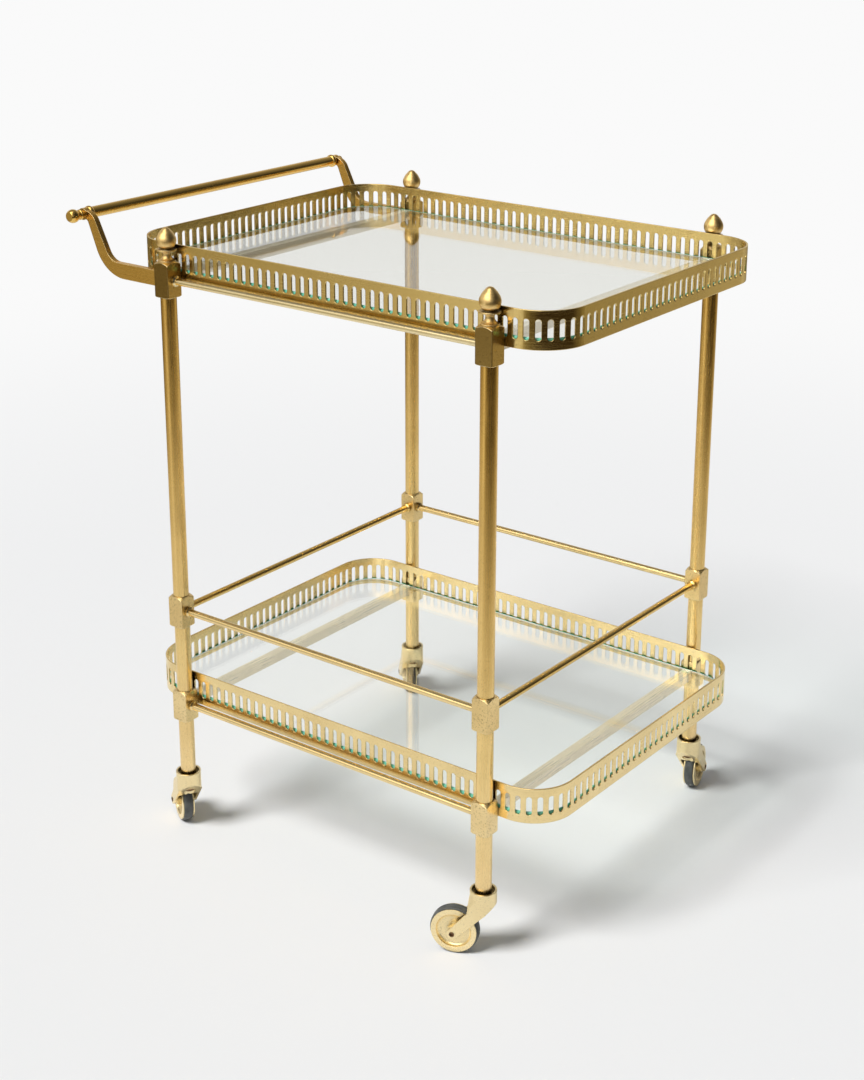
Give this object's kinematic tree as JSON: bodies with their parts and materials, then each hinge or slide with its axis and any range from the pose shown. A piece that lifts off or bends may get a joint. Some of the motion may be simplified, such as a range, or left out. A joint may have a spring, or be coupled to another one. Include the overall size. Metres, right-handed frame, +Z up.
{
  "type": "bar cart",
  "caption": "Brass bar cart with glass shelves inside pierced galleries, tube legs with acorn finials, a bar handle at one end and swivel casters.",
  "frame": {"origin": "on the floor, midway between the four leg axes", "axes": "+X along the front, away from the handle end; +Y from front to back; +Z up"},
  "size_m": [0.677, 0.5492, 0.789],
  "materials": {
    "aged_brass": "satin aged brass",
    "clear_glass": "clear, green at the edges",
    "grey_rubber": "matt dark grey",
    "steel": "plain turned steel"
  },
  "bodies": {
    "frame": {"bracket_studs": "steel", "caster_pivots": "steel", "finial_back_left": "aged_brass", "finial_back_right": "aged_brass", "finial_front_left": "aged_brass", "finial_front_right": "aged_brass", "grip_bar": "aged_brass", "handle_bracket_back": "aged_brass", "handle_bracket_front": "aged_brass", "handle_knob_back": "aged_brass", "handle_knob_front": "aged_brass", "leg_back_left": "aged_brass", "leg_back_right": "aged_brass", "leg_front_left": "aged_brass", "leg_front_right": "aged_brass", "low_block_back_left": "aged_brass", "low_block_back_right": "aged_brass", "low_block_front_left": "aged_brass", "low_block_front_right": "aged_brass", "low_rod_back": "aged_brass", "low_rod_front": "aged_brass", "lower_crossbar_left": "aged_brass", "lower_crossbar_right": "aged_brass", "lower_gallery": "aged_brass", "lower_glass": "clear_glass", "mid_block_back_left": "aged_brass", "mid_block_back_right": "aged_brass", "mid_block_front_left": "aged_brass", "mid_block_front_right": "aged_brass", "mid_rod_back": "aged_brass", "mid_rod_front": "aged_brass", "mid_rod_left": "aged_brass", "mid_rod_right": "aged_brass", "tie_rods": "steel", "top_block_back_left": "aged_brass", "top_block_back_right": "aged_brass", "top_block_front_left": "aged_brass", "top_block_front_right": "aged_brass", "top_crossbar_left": "aged_brass", "top_crossbar_right": "aged_brass", "top_gallery": "aged_brass", "top_glass": "clear_glass", "top_rod_back": "aged_brass", "top_rod_front": "aged_brass"},
    "caster_front_left": {"caster_fork_front_left": "aged_brass", "axle_front_left": "steel"},
    "roller_front_left": {"wheel_front_left": "aged_brass", "tyre_front_left": "grey_rubber"},
    "caster_front_right": {"caster_fork_front_right": "aged_brass", "axle_front_right": "steel"},
    "roller_front_right": {"wheel_front_right": "aged_brass", "tyre_front_right": "grey_rubber"},
    "caster_back_left": {"caster_fork_back_left": "aged_brass", "axle_back_left": "steel"},
    "roller_back_left": {"wheel_back_left": "aged_brass", "tyre_back_left": "grey_rubber"},
    "caster_back_right": {"caster_fork_back_right": "aged_brass", "axle_back_right": "steel"},
    "roller_back_right": {"wheel_back_right": "aged_brass", "tyre_back_right": "grey_rubber"}
  },
  "joints": [
    {"name": "caster_swivel_front_left", "type": "hinge", "parent": "frame", "child": "caster_front_left", "pos_m": [-0.23, -0.23, 0.06], "axis": [0, 0, 1], "continuous": true},
    {"name": "wheel_spin_front_left", "type": "hinge", "parent": "caster_front_left", "child": "roller_front_left", "pos_m": [-0.25782, -0.21262, 0.0287], "axis": [-0.5299, -0.848, 0], "continuous": true},
    {"name": "caster_swivel_front_right", "type": "hinge", "parent": "frame", "child": "caster_front_right", "pos_m": [0.23, -0.23, 0.06], "axis": [0, 0, 1], "continuous": true},
    {"name": "wheel_spin_front_right", "type": "hinge", "parent": "caster_front_right", "child": "roller_front_right", "pos_m": [0.19938, -0.24175, 0.0287], "axis": [0.3584, -0.9336, 0], "continuous": true},
    {"name": "caster_swivel_back_left", "type": "hinge", "parent": "frame", "child": "caster_back_left", "pos_m": [-0.23, 0.23, 0.06], "axis": [0, 0, 1], "continuous": true},
    {"name": "wheel_spin_back_left", "type": "hinge", "parent": "caster_back_left", "child": "roller_back_left", "pos_m": [-0.25359, 0.25278, 0.0287], "axis": [-0.6947, -0.7193, 0], "continuous": true},
    {"name": "caster_swivel_back_right", "type": "hinge", "parent": "frame", "child": "caster_back_right", "pos_m": [0.23, 0.23, 0.06], "axis": [0, 0, 1], "continuous": true},
    {"name": "wheel_spin_back_right", "type": "hinge", "parent": "caster_back_right", "child": "roller_back_right", "pos_m": [0.22262, 0.26196, 0.0287], "axis": [-0.9744, -0.225, 0], "continuous": true}
  ]
}
